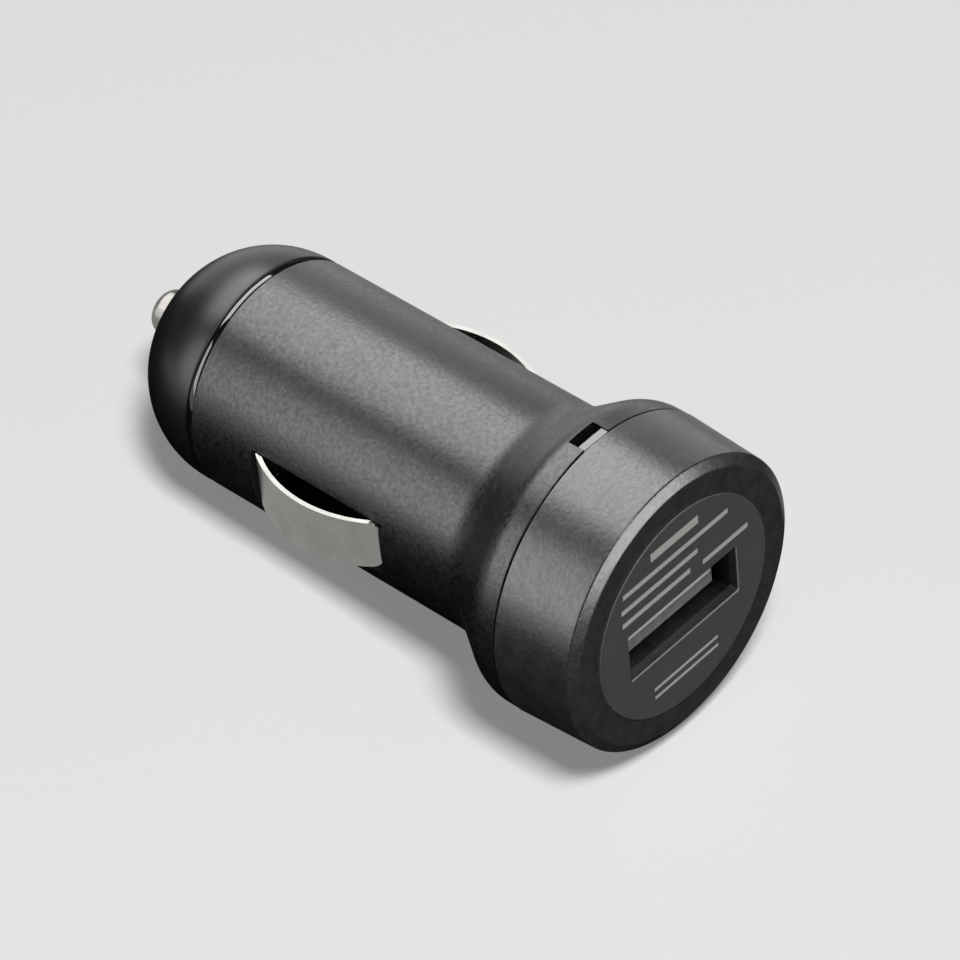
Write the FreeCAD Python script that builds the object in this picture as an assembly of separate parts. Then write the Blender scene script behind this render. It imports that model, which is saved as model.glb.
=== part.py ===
"""Car charger adapter with a USB port in its head, all sizes in millimetres.

The plug's axis is Y. The front face with the port lies at Y = 0 and looks towards -Y, and the
tip contact points towards +Y. Z is up through the indicator window, and the two half shells of
the barrel part in the plane Z = 0, which also holds the side contacts.
"""
import FreeCAD, Part
import math
import os

V = FreeCAD.Vector

# Fits and gaps
SLIDING_GAP = 0.25
SNUG_GAP = 0.1
FEATHER = 0.05

# Barrel and flared shoulder
BARREL_R = 10.3
BARREL_WALL = 1.6
BARREL_END = 43.92
SHOULDER_STEP = 0.03
SHOULDER_FLAT = 1.1
SHOULDER_ROUND = 3.4
FLARE_ANGLE = 34.0
FLARE_FILLET = 5.5
SEAM_GAP = 0.12
BARREL_EDGE_ROUND = 0.12
PARTING_GROOVE = 0.1

# Spigot of the half shells inside the head cap
SPIGOT_WALL = 1.5
SPIGOT_LENGTH = 5.2
LIP_HEIGHT = 0.6
LIP_WIDTH = 0.55
LIP_LENGTH = 4.0

# Head cap
CAP_REAR_R = 13.45
CAP_DRAFT = 0.38
CAP_RIM_BEVEL = 0.88
CAP_WALL = 1.45
CAP_LENGTH = 7.78
CAP_CHAMFER = 0.55
CAP_FACE_WALL = 1.6
CAP_INNER_ROUND = 0.6

# Label on the face
LABEL_R = 9.84
LABEL_THICK = 0.15

# Port opening and the connector behind it
PORT_WIDTH = 12.84
PORT_HEIGHT = 4.8
PORT_Z = -0.75
PORT_LIP = 0.8
PORT_CORNER = 0.25
SHELL_INNER_WIDTH = 12.5
SHELL_INNER_HEIGHT = 5.12
SHELL_SHEET = 0.3
SHELL_LENGTH = 12.8
SHELL_CORNER = 0.5
FINGER_WIDTH = 2.2
FINGER_LENGTH = 5.0
FINGER_SPACING = 6.0
FINGER_START = 2.4
FINGER_SLIT = 0.35
TONGUE_WIDTH = 11.1
TONGUE_THICK = 1.84
TONGUE_FLOOR_GAP = 0.75
TONGUE_SETBACK = 0.35
TONGUE_CHAMFER = 0.35
TONGUE_BLOCK = 2.0
PIN_PITCHES = (-3.5, -1.0, 1.0, 3.5)
PIN_WIDTH = 1.0
PIN_THICK = 0.25
PIN_SETBACK = 1.2
PIN_TAIL_WIDTH = 0.6

# Indicator window, light pipe and lamp
WINDOW_WIDTH = 2.9
WINDOW_LENGTH = 1.65
PIPE_THICK = 0.62
PIPE_SUNK = 0.15
PIPE_FLANGE = 1.0
PIPE_FLANGE_THICK = 0.9
LED_R = 1.5
LED_RIM = 0.3
LED_RIM_THICK = 1.0
LED_STANDOFF = 2.09
LED_LEAD_R = 0.25
LED_LEAD_PITCH = 2.54
LED_LEAD_BEND = 0.5

# Side contacts, two bowed leaves in slots of the barrel
SLOT_HALF_HEIGHT = 2.87
SLOT_LENGTH = 14.3
SLOT_MIDDLE = 30.0
LEAF_BOW_R = 12.0
LEAF_APEX = 12.0
LEAF_THICK = 0.4
LEAF_BEND = 0.9
LEAF_ARM_INNER = 6.9
LEAF_EAR = 0.5
LEAF_EAR_LENGTH = 0.8
LEAF_CORNER = 1.0

# Nose cap, ring and tip
NOSE_RING_WIDTH = 0.62
NOSE_RING_SUNK = 0.07
NOSE_RING_CROWN = 0.03
NOSE_SPIGOT_LENGTH = 4.6
NOSE_SPIGOT_WALL = 1.7
NOSE_STRAIGHT = 0.48
NOSE_DOME_R = 9.2
NOSE_LENGTH = 8.88
NOSE_EDGE_ROUND = 0.12
SNAP_HEIGHT = 0.35
SNAP_WIDTH = 1.2
SNAP_FROM_END = 2.2
TIP_R = 2.05
TIP_ROUND = 1.0
TIP_REACH = 3.8
TIP_FLANGE_R = 3.1
TIP_FLANGE_THICK = 1.2
TIP_SEAT_WALL = 3.1
TIP_STUB_R = 1.5
TIP_STUB_LENGTH = 2.0
SPRING_R = 2.2
SPRING_WIRE = 0.5
SPRING_TURNS = 6

# Circuit board and what stands on it
BOARD_THICK = 1.2
BOARD_EDGE_GAP = 0.45
BOARD_HEAD_GAP = 1.22
BOARD_END = 39.0
BOARD_RAIL_WIDTH = 0.6
TERMINAL_THICK = 0.4
TERMINAL_R = 3.3
TERMINAL_FOOT = 1.8
TERMINAL_BOSS_R = 1.4
TERMINAL_BOSS = 1.0
CAN_R = 3.15
CAN_HEIGHT = 6.6
CAN_GROOVE = 0.25
CAN_BASE = 0.6
OUTPUT_CAN_Y = 18.6
DRUM_R = 3.5
DRUM_HEIGHT = 4.6
DRUM_FLANGE = 0.8
DRUM_HUB_R = 1.7
DRUM_Y = 26.0
COIL_R = 3.1
COIL_TURNS = 6
INPUT_CAN_Y = 33.1
CHIP_SIZE = (3.9, 4.9, 1.45)
CHIP_Y = 21.0
CHIP_LEG_PITCH = 1.27
CHIP_LEG_WIDTH = 0.4
CHIP_LEG_REACH = 1.05
CHIP_LEG_THICK = 0.2
DIODE_SIZE = (2.6, 4.3, 2.0)
DIODE_Y = 28.0
DIODE_TAB = 0.5
FUSE_SIZE = (2.5, 6.1, 2.0)
FUSE_Y = 35.0
FUSE_CAP = 1.4
SMALL_CHIP = (1.25, 2.0, 0.5)
SMALL_CHIP_GAP = 0.5
RESISTOR_YS = (18.0, 21.0, 24.0, 27.0)
CAPACITOR_YS = (19.5, 22.5, 25.5)

# Values worked out from the sizes above
BORE_R = BARREL_R - BARREL_WALL
CAP_RIM_R = CAP_REAR_R - CAP_DRAFT
CAP_FACE_R = CAP_RIM_R - CAP_RIM_BEVEL
CAP_BORE_R = CAP_REAR_R - CAP_WALL
SHOULDER_R = CAP_REAR_R - SHOULDER_STEP
SPIGOT_R = CAP_BORE_R - SNUG_GAP
SPIGOT_BORE_R = SPIGOT_R - SPIGOT_WALL
SHOULDER_START = CAP_LENGTH + SEAM_GAP
SPIGOT_START = SHOULDER_START - SPIGOT_LENGTH
NOSE_START = BARREL_END + NOSE_RING_WIDTH
NOSE_END = NOSE_START + NOSE_LENGTH
NOSE_BACK = BARREL_END - NOSE_SPIGOT_LENGTH
NOSE_SPIGOT_R = BORE_R - SNUG_GAP
SHELL_OUTER_HEIGHT = SHELL_INNER_HEIGHT + 2 * SHELL_SHEET
SHELL_OUTER_WIDTH = SHELL_INNER_WIDTH + 2 * SHELL_SHEET
SHELL_FRONT = PORT_LIP + FEATHER
SHELL_BACK = SHELL_FRONT + SHELL_LENGTH
SHELL_FLOOR = PORT_Z - SHELL_INNER_HEIGHT / 2
BOARD_TOP = PORT_Z - SHELL_OUTER_HEIGHT / 2
BOARD_BOTTOM = BOARD_TOP - BOARD_THICK
BOARD_WIDTH = 2 * (math.sqrt(BORE_R ** 2 - BOARD_BOTTOM ** 2) - BOARD_EDGE_GAP)
BOARD_HEAD_WIDTH = 2 * (math.sqrt(SPIGOT_BORE_R ** 2 - BOARD_BOTTOM ** 2) - BOARD_HEAD_GAP)
TONGUE_BOTTOM = SHELL_FLOOR + TONGUE_FLOOR_GAP
TONGUE_TOP = TONGUE_BOTTOM + TONGUE_THICK
TIP_SEAT = NOSE_END - TIP_SEAT_WALL
TIP_END = NOSE_END + TIP_REACH
FLANGE_BACK = TIP_SEAT - FEATHER - TIP_FLANGE_THICK
TERMINAL_FACE = BOARD_END + TERMINAL_THICK
PIN_TAIL_Y = SHELL_BACK + SNUG_GAP
LEAD_Y = PIN_TAIL_Y + PIN_THICK + 2 * LED_LEAD_R
SMALL_CHIP_X = BOARD_WIDTH / 2 - BOARD_RAIL_WIDTH - SMALL_CHIP_GAP - SMALL_CHIP[0] / 2


def save(node, shape):
    """Write one named piece as a STEP file."""
    shape.exportStep(os.path.join("parts", node + ".step"))


def outline(start, *moves):
    """Closed wire in the XY plane: a move of one point is a line, of two points an arc."""
    edges = []
    here = V(*start)
    for move in moves + (((start[0], start[1]),),):
        points = [V(*point) for point in move]
        if len(points) == 1:
            edges.append(Part.makeLine(here, points[0]))
        else:
            edges.append(Part.Arc(here, points[0], points[1]).toShape())
        here = points[-1]
    return Part.Wire(edges)


def turned(start, *moves):
    """Solid of revolution about Y from an outline of (radius, y) points."""
    return Part.Face(outline(start, *moves)).revolve(V(0, 0, 0), V(0, 1, 0), 360)


def plate(start, *moves, z0, z1):
    """Flat outline in XY raised from z0 to z1."""
    face = Part.Face(outline(start, *moves))
    face.translate(V(0, 0, z0))
    return face.extrude(V(0, 0, z1 - z0))


def block(x, y, z):
    """Box between two values in each direction, given as pairs."""
    return Part.makeBox(x[1] - x[0], y[1] - y[0], z[1] - z[0], V(x[0], y[0], z[0]))


def bar_y(width, height, y, z_middle=0.0, corner=0.0):
    """Box along Y, centred on X = 0 and Z = z_middle, with its long edges rounded."""
    bar = block((-width / 2, width / 2), y, (z_middle - height / 2, z_middle + height / 2))
    if corner > 0:
        long_edges = [e for e in bar.Edges if abs(e.tangentAt(e.FirstParameter).y) > 0.9]
        bar = bar.makeFillet(corner, long_edges)
    return bar


def post(radius, x, y, z0, z1):
    """Upright cylinder."""
    return Part.makeCylinder(radius, z1 - z0, V(x, y, z0))


def rod_y(radius, y0, y1):
    """Cylinder on the plug's axis."""
    return Part.makeCylinder(radius, y1 - y0, V(0, y0, 0), V(0, 1, 0))


def mirrored(shape):
    """The same piece on the other side of the plane X = 0."""
    return shape.mirror(V(0, 0, 0), V(1, 0, 0))


def barrel_moulding(inset=0.0):
    """Both half shells as one turned form: spigot, shoulder, flare and barrel, bored out.

    With an inset the shoulder, flare and barrel are that much smaller outside.
    """
    shoulder_r = SHOULDER_R - inset
    barrel_r = BARREL_R - inset
    angle = math.radians(FLARE_ANGLE)
    half = angle / 2
    round_start = SHOULDER_START + SHOULDER_FLAT
    round_end = round_start + SHOULDER_ROUND * math.sin(angle)
    round_end_r = shoulder_r - SHOULDER_ROUND * (1 - math.cos(angle))
    fillet_start_r = barrel_r + FLARE_FILLET * (1 - math.cos(angle))
    fillet_start = round_end + (round_end_r - fillet_start_r) / math.tan(angle)
    fillet_end = fillet_start + FLARE_FILLET * math.sin(angle)
    round_mid = (shoulder_r - SHOULDER_ROUND * (1 - math.cos(half)),
                 round_start + SHOULDER_ROUND * math.sin(half))
    fillet_mid = (barrel_r + FLARE_FILLET * (1 - math.cos(half)),
                  fillet_end - FLARE_FILLET * math.sin(half))
    edge_mid = BARREL_EDGE_ROUND * (1 - math.sqrt(0.5))
    return turned(
        (SPIGOT_BORE_R, SPIGOT_START),
        ((SPIGOT_R, SPIGOT_START),),
        ((SPIGOT_R, SHOULDER_START),),
        ((shoulder_r, SHOULDER_START),),
        ((shoulder_r, round_start),),
        (round_mid, (round_end_r, round_end)),
        ((fillet_start_r, fillet_start),),
        (fillet_mid, (barrel_r, fillet_end)),
        ((barrel_r, BARREL_END - BARREL_EDGE_ROUND),),
        ((barrel_r - edge_mid, BARREL_END - edge_mid), (barrel_r - BARREL_EDGE_ROUND, BARREL_END)),
        ((BORE_R, BARREL_END),),
        ((BORE_R, fillet_start),),
        ((SPIGOT_BORE_R, round_start),),
    )


def parting_groove():
    """Fine groove round the outside, where the two half shells meet."""
    reach = 2 * SHOULDER_R
    half = PARTING_GROOVE / 2
    slab = block((-reach, reach), (SHOULDER_START, BARREL_END), (-half, half))
    return slab.cut(barrel_moulding(PARTING_GROOVE)).common(barrel_moulding())


def contact_slots():
    """The two side openings that the leaves stand out of."""
    y = (SLOT_MIDDLE - SLOT_LENGTH / 2, SLOT_MIDDLE + SLOT_LENGTH / 2)
    z = (-SLOT_HALF_HEIGHT, SLOT_HALF_HEIGHT)
    reach = LEAF_APEX + LEAF_THICK
    slot = block((LEAF_ARM_INNER - LEAF_THICK, reach), y, z)
    return slot.fuse(mirrored(slot))


def snap_ring(height, width):
    """Ring in the barrel's bore that the nose cap's spigot clicks into."""
    middle = BARREL_END - SNAP_FROM_END
    return turned(
        (NOSE_SPIGOT_R - FEATHER, middle - width / 2),
        ((NOSE_SPIGOT_R, middle - width / 2),),
        ((NOSE_SPIGOT_R + height, middle - width / 4),),
        ((NOSE_SPIGOT_R + height, middle + width / 4),),
        ((NOSE_SPIGOT_R, middle + width / 2),),
        ((NOSE_SPIGOT_R - FEATHER, middle + width / 2),),
    )


def parting_lips(gap):
    """Lips on the lower half's parting face, or with a gap the grooves that take them."""
    slot_end = SLOT_LENGTH / 2
    lips = []
    middle_x = BORE_R + BARREL_WALL / 2
    for side in (-1, 1):
        middle_y = SLOT_MIDDLE + side * (slot_end + LIP_LENGTH / 2 + SNUG_GAP)
        x = (middle_x - LIP_WIDTH / 2 - gap, middle_x + LIP_WIDTH / 2 + gap)
        half_y = LIP_LENGTH / 2 - LIP_WIDTH + gap
        y = (middle_y - half_y, middle_y + half_y)
        lip = block(x, y, (-FEATHER, LIP_HEIGHT + gap))
        lips += [lip, mirrored(lip)]
    return lips


def board_rails():
    """Ledges in the lower half under the board's long edges."""
    y = (OUTPUT_CAN_Y - CAN_R, NOSE_BACK - SNUG_GAP)
    bore = rod_y(BORE_R + FEATHER, *y)
    rails = []
    inner = BOARD_WIDTH / 2 - BOARD_RAIL_WIDTH
    for x in ((inner, BARREL_R), (-BARREL_R, -inner)):
        rails.append(bore.common(block(x, y, (-BARREL_R, BOARD_BOTTOM))))
    return rails


def half_shells():
    """Upper and lower half of the barrel, with the window in the upper one."""
    whole = barrel_moulding().cut(parting_groove()).cut(contact_slots())
    whole = whole.cut(snap_ring(SNAP_HEIGHT + SNUG_GAP, SNAP_WIDTH + 2 * SNUG_GAP))
    size = 2 * SHOULDER_R
    above = block((-size, size), (0, BARREL_END + size), (0, size))
    below = block((-size, size), (0, BARREL_END + size), (-size, 0))
    upper = whole.common(above)
    for groove in parting_lips(SNUG_GAP):
        upper = upper.cut(groove)
    window_y = (SHOULDER_START - FEATHER, SHOULDER_START + WINDOW_LENGTH)
    window_z = (SPIGOT_BORE_R - 2 * SLIDING_GAP, size)
    window = block((-WINDOW_WIDTH / 2, WINDOW_WIDTH / 2), window_y, window_z)
    shoulder_only = block((-size, size), (SHOULDER_START, BARREL_END), (0, size))
    upper = upper.cut(window.common(shoulder_only))
    lower = whole.common(below)
    for lip in parting_lips(0.0):
        lower = lower.fuse(lip)
    for rail in board_rails():
        lower = lower.fuse(rail)
    return upper.removeSplitter(), lower.removeSplitter()


def head_cap():
    """Tapered cup over the spigot, with the port opening and a seat for the port shell."""
    cup = turned(
        (0, 0),
        ((CAP_FACE_R, 0),),
        ((CAP_RIM_R, CAP_CHAMFER),),
        ((CAP_REAR_R, CAP_LENGTH),),
        ((CAP_BORE_R, CAP_LENGTH),),
        ((CAP_BORE_R, CAP_FACE_WALL + CAP_INNER_ROUND),),
        ((CAP_BORE_R - CAP_INNER_ROUND, CAP_FACE_WALL),),
        ((0, CAP_FACE_WALL),),
    )
    opening = bar_y(PORT_WIDTH, PORT_HEIGHT, (-1, CAP_FACE_WALL + 1), PORT_Z, PORT_CORNER)
    seat_width = SHELL_OUTER_WIDTH + 2 * SNUG_GAP
    seat_height = SHELL_OUTER_HEIGHT + 2 * SNUG_GAP
    seat = bar_y(seat_width, seat_height, (PORT_LIP, CAP_FACE_WALL + 1), PORT_Z, SHELL_CORNER)
    return cup.cut(opening).cut(seat)


def label():
    """Thin printed disc stuck on the face, cut out round the port."""
    disc = rod_y(LABEL_R, -LABEL_THICK, 0)
    return disc.cut(bar_y(PORT_WIDTH, PORT_HEIGHT, (-1, 1), PORT_Z, PORT_CORNER))


def spring_finger_slits(top):
    """U-shaped slits that free two spring fingers in the top or bottom of the port shell."""
    y0 = SHELL_FRONT + FINGER_START
    wall = PORT_Z + SHELL_OUTER_HEIGHT / 2 * (1 if top else -1)
    z = (wall - SHELL_SHEET * 2, wall + SHELL_SHEET * 2)
    slits = []
    for side in (-1, 1):
        middle = side * FINGER_SPACING / 2
        outer = (middle - FINGER_WIDTH / 2, middle + FINGER_WIDTH / 2)
        inner = (outer[0] + FINGER_SLIT, outer[1] - FINGER_SLIT)
        frame = block(outer, (y0, y0 + FINGER_LENGTH), z)
        finger = block(inner, (y0 + FINGER_SLIT, y0 + FINGER_LENGTH), z)
        slits.append(frame.cut(finger))
    return slits


def usb_shell():
    """Folded steel sheet round the port, with four spring fingers."""
    y = (SHELL_FRONT, SHELL_BACK)
    sleeve = bar_y(SHELL_OUTER_WIDTH, SHELL_OUTER_HEIGHT, y, PORT_Z, SHELL_CORNER)
    hollow_y = (SHELL_FRONT - 1, SHELL_BACK + 1)
    inner_corner = SHELL_CORNER - SHELL_SHEET
    sleeve = sleeve.cut(bar_y(SHELL_INNER_WIDTH, SHELL_INNER_HEIGHT, hollow_y, PORT_Z, inner_corner))
    for slit in spring_finger_slits(True) + spring_finger_slits(False):
        sleeve = sleeve.cut(slit)
    return sleeve


def usb_contact(x):
    """One contact strip: along the tongue's top, through the block and down to the board."""
    wide = (x - PIN_WIDTH / 2, x + PIN_WIDTH / 2)
    narrow = (x - PIN_TAIL_WIDTH / 2, x + PIN_TAIL_WIDTH / 2)
    top = TONGUE_TOP + PIN_THICK
    start = SHELL_FRONT + TONGUE_SETBACK + PIN_SETBACK
    strip = block(wide, (start, PIN_TAIL_Y + PIN_THICK), (TONGUE_TOP, top))
    tail = block(narrow, (PIN_TAIL_Y, PIN_TAIL_Y + PIN_THICK), (BOARD_BOTTOM - PIN_THICK, top))
    return strip.fuse(tail).removeSplitter()


def usb_tongue(contacts):
    """Plastic tongue with a chamfered nose, and the block that fills the back of the shell."""
    front = SHELL_FRONT + TONGUE_SETBACK
    block_y = (SHELL_BACK - TONGUE_BLOCK, SHELL_BACK)
    middle_z = (TONGUE_BOTTOM + TONGUE_TOP) / 2
    tongue = bar_y(TONGUE_WIDTH, TONGUE_THICK, (front, block_y[0]), middle_z)
    front_edges = [e for e in tongue.Edges if e.BoundBox.YMax < front + FEATHER]
    tongue = tongue.makeChamfer(TONGUE_CHAMFER, front_edges)
    width = SHELL_INNER_WIDTH - 2 * FEATHER
    height = SHELL_INNER_HEIGHT - 2 * FEATHER
    body = tongue.fuse(bar_y(width, height, block_y, PORT_Z, SHELL_CORNER - SHELL_SHEET))
    for contact in contacts:
        body = body.cut(contact)
    return body.removeSplitter()


def light_pipe():
    """Clear plate in the window, on a flange under the shoulder's wall."""
    flange_top = SPIGOT_BORE_R - 2 * SLIDING_GAP
    y = (SHOULDER_START + FEATHER, SHOULDER_START + FEATHER + PIPE_THICK)
    half = WINDOW_WIDTH / 2 - SNUG_GAP
    stem = block((-half, half), y, (flange_top, SHOULDER_R - PIPE_SUNK))
    flange = block((-half - PIPE_FLANGE, half + PIPE_FLANGE),
                   (y[0] - PIPE_FLANGE, SHOULDER_START + WINDOW_LENGTH),
                   (flange_top - PIPE_FLANGE_THICK, flange_top))
    return stem.fuse(flange).removeSplitter()


def indicator_led():
    """Round lamp under the light pipe, its two leads bent back and down to the board."""
    dome_z = SPIGOT_BORE_R - 2 * SLIDING_GAP - PIPE_FLANGE_THICK - SNUG_GAP - LED_R
    base = PORT_Z + SHELL_OUTER_HEIGHT / 2 + LED_STANDOFF
    y = SHOULDER_START + PIPE_THICK / 2
    lamp = post(LED_R + LED_RIM, 0, y, base, base + LED_RIM_THICK)
    lamp = lamp.fuse(post(LED_R, 0, y, base, dome_z))
    lamp = lamp.fuse(Part.makeSphere(LED_R, V(0, y, dome_z)))
    run_z = base - LED_LEAD_BEND - LED_LEAD_R
    for x in (-LED_LEAD_PITCH / 2, LED_LEAD_PITCH / 2):
        lamp = lamp.fuse(bent_lead(x, y, base + FEATHER, run_z))
    return lamp.removeSplitter()


def bent_lead(x, y, z_top, run_z):
    """Round wire down from the lamp, back over the port and down through the board."""
    bend = LED_LEAD_BEND
    near = bend * (1 - math.sqrt(0.5))
    low = BOARD_BOTTOM - LED_LEAD_R
    path = Part.Wire([
        Part.makeLine(V(x, y, z_top), V(x, y, run_z + bend)),
        Part.Arc(V(x, y, run_z + bend), V(x, y + near, run_z + near), V(x, y + bend, run_z)).toShape(),
        Part.makeLine(V(x, y + bend, run_z), V(x, LEAD_Y - bend, run_z)),
        Part.Arc(V(x, LEAD_Y - bend, run_z), V(x, LEAD_Y - near, run_z - near),
                 V(x, LEAD_Y, run_z - bend)).toShape(),
        Part.makeLine(V(x, LEAD_Y, run_z - bend), V(x, LEAD_Y, low)),
    ])
    ring = Part.Wire([Part.makeCircle(LED_LEAD_R, V(x, y, z_top), V(0, 0, 1))])
    return path.makePipeShell([ring], True, True)


def side_contact():
    """Bowed leaf on the +X side: bow, two arms turned inwards, and ears behind the slot."""
    end = SLOT_LENGTH / 2 - SLIDING_GAP
    half = SLOT_HALF_HEIGHT - SNUG_GAP
    leaf = leaf_sheet(end, LEAF_THICK).extrude(V(0, 0, 2 * half))
    leaf.translate(V(0, SLOT_MIDDLE, -half))
    leaf = leaf.common(leaf_stamping(SLOT_MIDDLE - end, SLOT_MIDDLE + end, half))
    ear_x = (LEAF_ARM_INNER, LEAF_ARM_INNER + LEAF_EAR_LENGTH)
    for side in (-1, 1):
        face = SLOT_MIDDLE + side * end
        y = (min(face, face - side * LEAF_THICK), max(face, face - side * LEAF_THICK))
        low = BOARD_TOP + SNUG_GAP if side < 0 else -half - LEAF_EAR
        leaf = leaf.fuse(block(ear_x, y, (low, half + LEAF_EAR)))
    return leaf.removeSplitter()


def leaf_stamping(y_head, y_nose, half):
    """Block with the strip's stamped outline seen from the side, rounded at its head end."""
    stamping = block((0, LEAF_APEX + LEAF_THICK), (y_head, y_nose + LEAF_THICK), (-half, half))
    head_edges = [e for e in stamping.Edges
                  if abs(e.tangentAt(e.FirstParameter).x) > 0.9 and e.BoundBox.YMax < y_head + FEATHER]
    return stamping.makeFillet(LEAF_CORNER, head_edges)


def leaf_sheet(end, thick):
    """Edge-on outline of the leaf, about its middle: an arc of strip with both ends turned in."""
    outer = leaf_side(LEAF_BOW_R, LEAF_BEND, end)
    inner = leaf_side(LEAF_BOW_R - thick, LEAF_BEND - thick, end - thick)
    tip = LEAF_ARM_INNER
    edges = []
    for bow, apex, bend_mid, face in (outer, inner):
        edges.append(Part.Arc(V(bow[0], -bow[1], 0), V(apex, 0, 0), V(bow[0], bow[1], 0)).toShape())
        for sign in (-1, 1):
            a = V(bow[0], sign * bow[1], 0)
            b = V(bend_mid[0], sign * bend_mid[1], 0)
            c = V(face[0], sign * face[1], 0)
            edges.append(Part.Arc(a, b, c).toShape())
            edges.append(Part.makeLine(c, V(tip, sign * face[1], 0)))
    for sign in (-1, 1):
        edges.append(Part.makeLine(V(tip, sign * outer[3][1], 0), V(tip, sign * inner[3][1], 0)))
    return Part.Face(Part.Wire(Part.__sortEdges__(edges)))


def leaf_side(bow_r, bend_r, end):
    """Points of one side of the strip: bow end, apex, middle of the bend and start of the arm."""
    centre_x = LEAF_APEX - LEAF_BOW_R
    angle = math.asin((end - bend_r) / (bow_r - bend_r))
    bend_x = centre_x + (bow_r - bend_r) * math.cos(angle)
    bend_y = end - bend_r
    bow = (bend_x + bend_r * math.cos(angle), bend_y + bend_r * math.sin(angle))
    half = (angle + math.pi / 2) / 2
    middle = (bend_x + bend_r * math.cos(half), bend_y + bend_r * math.sin(half))
    return bow, centre_x + bow_r, middle, (bend_x, end)


def nose_ring():
    """Polished ring that shows in the groove between barrel and nose cap."""
    outer = BARREL_R - NOSE_RING_SUNK
    half = NOSE_RING_WIDTH / 2
    crown = (outer, BARREL_END + half)
    edge = outer - NOSE_RING_CROWN
    inner = NOSE_SPIGOT_R + SNUG_GAP
    return turned(
        (inner, BARREL_END),
        ((edge, BARREL_END),),
        (crown, (edge, NOSE_START)),
        ((inner, NOSE_START),),
    )


def nose_cap():
    """Domed nose with a spigot for the barrel, a stepped bore for the tip and a snap bead."""
    dome_start = NOSE_START + NOSE_STRAIGHT
    dome_r = BARREL_R - NOSE_DOME_R
    rise = NOSE_END - dome_start
    face_r = dome_r + math.sqrt(NOSE_DOME_R ** 2 - rise ** 2)
    middle = math.asin(rise / NOSE_DOME_R) / 2
    dome_mid = (dome_r + NOSE_DOME_R * math.cos(middle), dome_start + NOSE_DOME_R * math.sin(middle))
    hole_r = TIP_R + SLIDING_GAP
    guide_r = TIP_FLANGE_R + SLIDING_GAP
    edge = NOSE_EDGE_ROUND
    near = edge * (1 - math.sqrt(0.5))
    hollow_r = NOSE_SPIGOT_R - NOSE_SPIGOT_WALL
    cap = turned(
        (hole_r, NOSE_END),
        ((face_r, NOSE_END),),
        (dome_mid, (BARREL_R, dome_start)),
        ((BARREL_R, NOSE_START + edge),),
        ((BARREL_R - near, NOSE_START + near), (BARREL_R - edge, NOSE_START)),
        ((NOSE_SPIGOT_R, NOSE_START),),
        ((NOSE_SPIGOT_R, NOSE_BACK),),
        ((hollow_r, NOSE_BACK),),
        ((hollow_r, NOSE_START),),
        ((guide_r, NOSE_START + (hollow_r - guide_r)),),
        ((guide_r, TIP_SEAT),),
        ((hole_r, TIP_SEAT),),
    )
    return cap.fuse(snap_ring(SNAP_HEIGHT, SNAP_WIDTH)).removeSplitter()


def tip_contact():
    """Turned pin with a rounded end, a flange that stops it in the nose and a spring stub."""
    near = TIP_ROUND * (1 - math.sqrt(0.5))
    return turned(
        (0, FLANGE_BACK - TIP_STUB_LENGTH),
        ((TIP_STUB_R, FLANGE_BACK - TIP_STUB_LENGTH),),
        ((TIP_STUB_R, FLANGE_BACK),),
        ((TIP_FLANGE_R, FLANGE_BACK),),
        ((TIP_FLANGE_R, FLANGE_BACK + TIP_FLANGE_THICK),),
        ((TIP_R, FLANGE_BACK + TIP_FLANGE_THICK),),
        ((TIP_R, TIP_END - TIP_ROUND),),
        ((TIP_R - near, TIP_END - near), (TIP_R - TIP_ROUND, TIP_END)),
        ((0, TIP_END),),
    )


def tip_spring():
    """Coil spring between the board's terminal and the tip's flange."""
    start = TERMINAL_FACE + SPRING_WIRE / 2
    length = FLANGE_BACK - SPRING_WIRE / 2 - start
    path = Part.makeHelix(length / SPRING_TURNS, length, SPRING_R)
    tangent = path.Edges[0].tangentAt(path.Edges[0].FirstParameter)
    ring = Part.Wire([Part.makeCircle(SPRING_WIRE / 2, V(SPRING_R, 0, 0), tangent)])
    coil = Part.Wire(path.Edges).makePipeShell([ring], True, True)
    coil.rotate(V(0, 0, 0), V(1, 0, 0), -90)
    coil.translate(V(0, start, 0))
    clear = FLANGE_BACK - TERMINAL_FACE - 2 * FEATHER
    return coil.common(Part.makeCylinder(TIP_FLANGE_R, clear, V(0, TERMINAL_FACE + FEATHER, 0), V(0, 1, 0)))


def spring_terminal():
    """Plate across the board's end that the spring presses on, with a boss and a soldered foot."""
    plate_y = (BOARD_END, TERMINAL_FACE)
    disc = rod_y(TERMINAL_R, *plate_y)
    neck = block((-TERMINAL_R / 2, TERMINAL_R / 2), plate_y, (BOARD_TOP, 0))
    foot = block((-TERMINAL_R / 2, TERMINAL_R / 2), (BOARD_END - TERMINAL_FOOT, TERMINAL_FACE),
                 (BOARD_TOP, BOARD_TOP + TERMINAL_THICK))
    boss = rod_y(TERMINAL_BOSS_R, BOARD_END, TERMINAL_FACE + TERMINAL_BOSS)
    return disc.fuse([neck, foot, boss]).removeSplitter()


def circuit_board(holes):
    """Board under the port and along the barrel, wider in the head."""
    half = BOARD_WIDTH / 2
    head_half = BOARD_HEAD_WIDTH / 2
    front = CAP_FACE_WALL + SLIDING_GAP
    step = SHOULDER_START + SHOULDER_FLAT
    board = plate(
        (-head_half, front),
        ((head_half, front),),
        ((head_half, step),),
        ((half, step),),
        ((half, BOARD_END),),
        ((-half, BOARD_END),),
        ((-half, step),),
        ((-head_half, step),),
        z0=BOARD_BOTTOM, z1=BOARD_TOP,
    )
    for hole in holes:
        board = board.cut(hole)
    return board


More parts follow.
